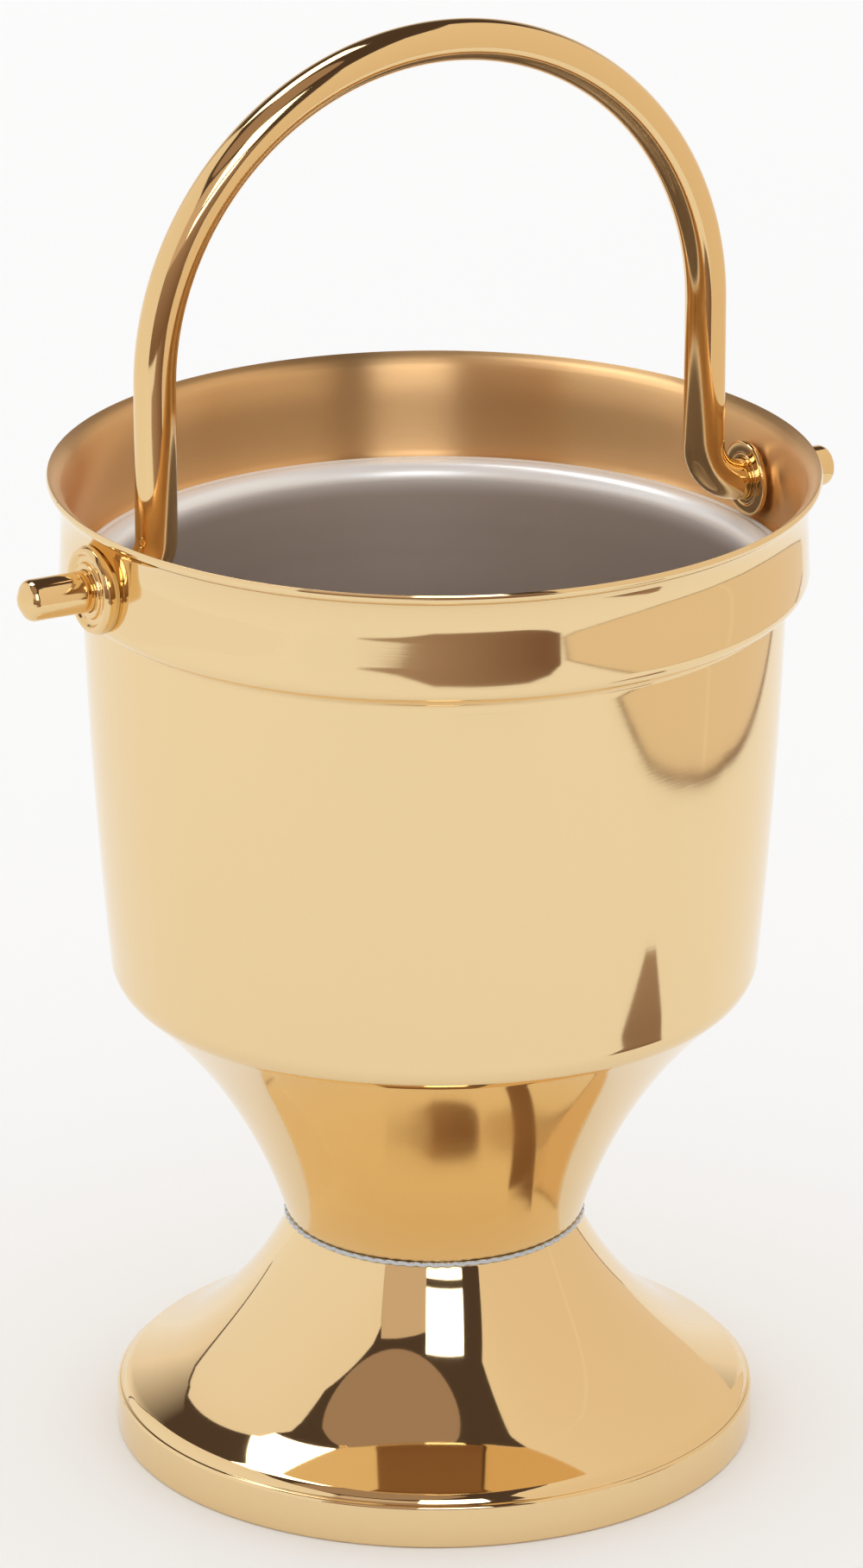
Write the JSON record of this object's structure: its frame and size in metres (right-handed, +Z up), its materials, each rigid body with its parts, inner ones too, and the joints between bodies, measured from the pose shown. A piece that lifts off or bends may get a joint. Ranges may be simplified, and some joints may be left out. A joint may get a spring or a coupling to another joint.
{
  "type": "holy-water pot",
  "caption": "Footed metal pot for holy water: spun bowl with flared lip and stepped collar, inner liner, bell foot and a swinging bail on flanged bushes.",
  "frame": {"origin": "centre of the foot's resting plane, on the pot's axis", "axes": "+Z up along the pot's axis, +X along the bail's pivot, +Y across it"},
  "size_m": [0.158, 0.133, 0.2566],
  "materials": {
    "bowl_brass": "polished and lacquered, spun",
    "foot_brass": "polished and lacquered, spun",
    "bail_brass": "polished and lacquered bent rod",
    "bush_brass": "polished and lacquered, turned",
    "liner_aluminium": "satin spun aluminium with a bright flange",
    "ring_steel": "bright white metal",
    "fastener_steel": "zinc plated"
  },
  "bodies": {
    "pot": {"bowl_shell": "bowl_brass", "foot_shell": "foot_brass", "joint_ring": "ring_steel", "clamp_bolt": "fastener_steel", "bolt_washer": "fastener_steel", "foot_washer": "fastener_steel", "spring_washer": "fastener_steel", "clamp_nut": "fastener_steel", "liner": "liner_aluminium", "bush_left": "bush_brass", "bush_washer_left": "bush_brass", "bush_right": "bush_brass", "bush_washer_right": "bush_brass"},
    "bail": {"bail_handle": "bail_brass"}
  },
  "joints": [
    {"name": "bail_swing", "type": "hinge", "parent": "pot", "child": "bail", "pos_m": [0, 0, 0.166], "axis": [1, 0, 0], "range_deg": [-65, 65]}
  ]
}
